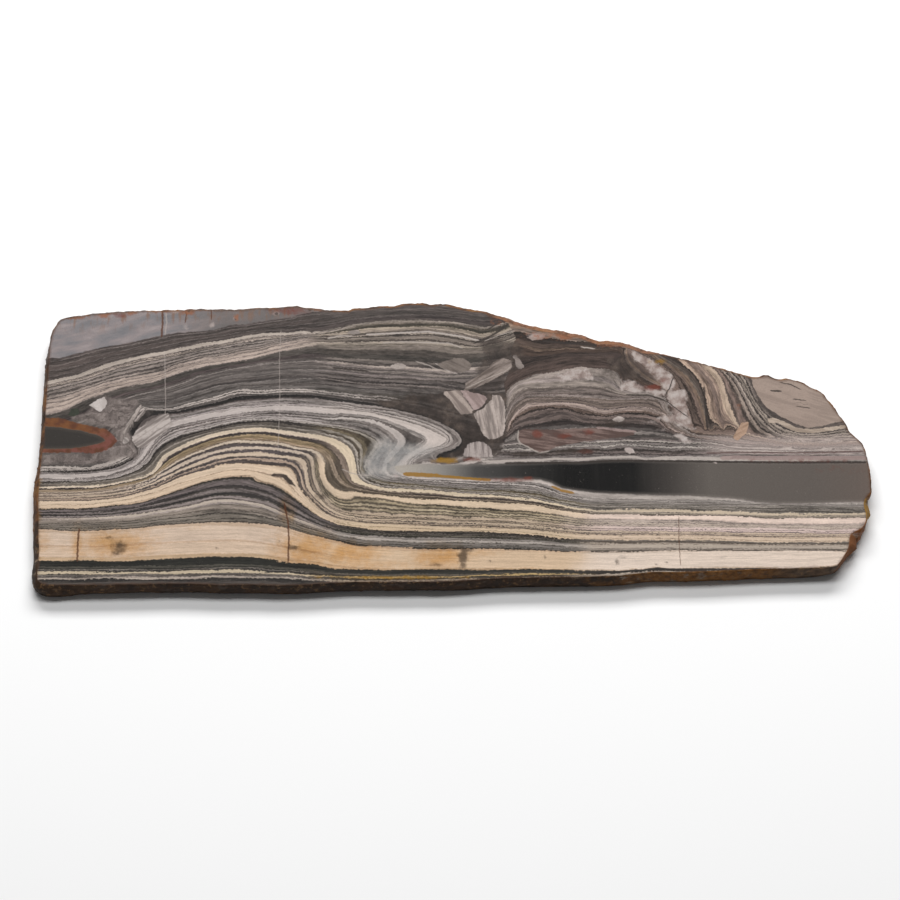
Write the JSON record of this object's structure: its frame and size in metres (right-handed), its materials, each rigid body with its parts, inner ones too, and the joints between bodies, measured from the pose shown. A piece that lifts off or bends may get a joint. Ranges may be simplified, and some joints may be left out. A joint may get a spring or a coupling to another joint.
{
  "type": "stromatolite slice",
  "caption": "Flat slab of banded stromatolite with a polished face, a sawn back and a rough natural rim with small chips.",
  "frame": {"origin": "middle of the sawn back, which lies on the table", "axes": "+X along the beds towards the tapered end, +Y across the beds towards the stepped back edge, +Z out of the polished face"},
  "size_m": [0.2983, 0.1192, 0.007],
  "materials": {
    "banded_stone": "polished face, sawn back, rough natural rim"
  },
  "bodies": {
    "root": {"slice": "banded_stone"}
  },
  "joints": []
}
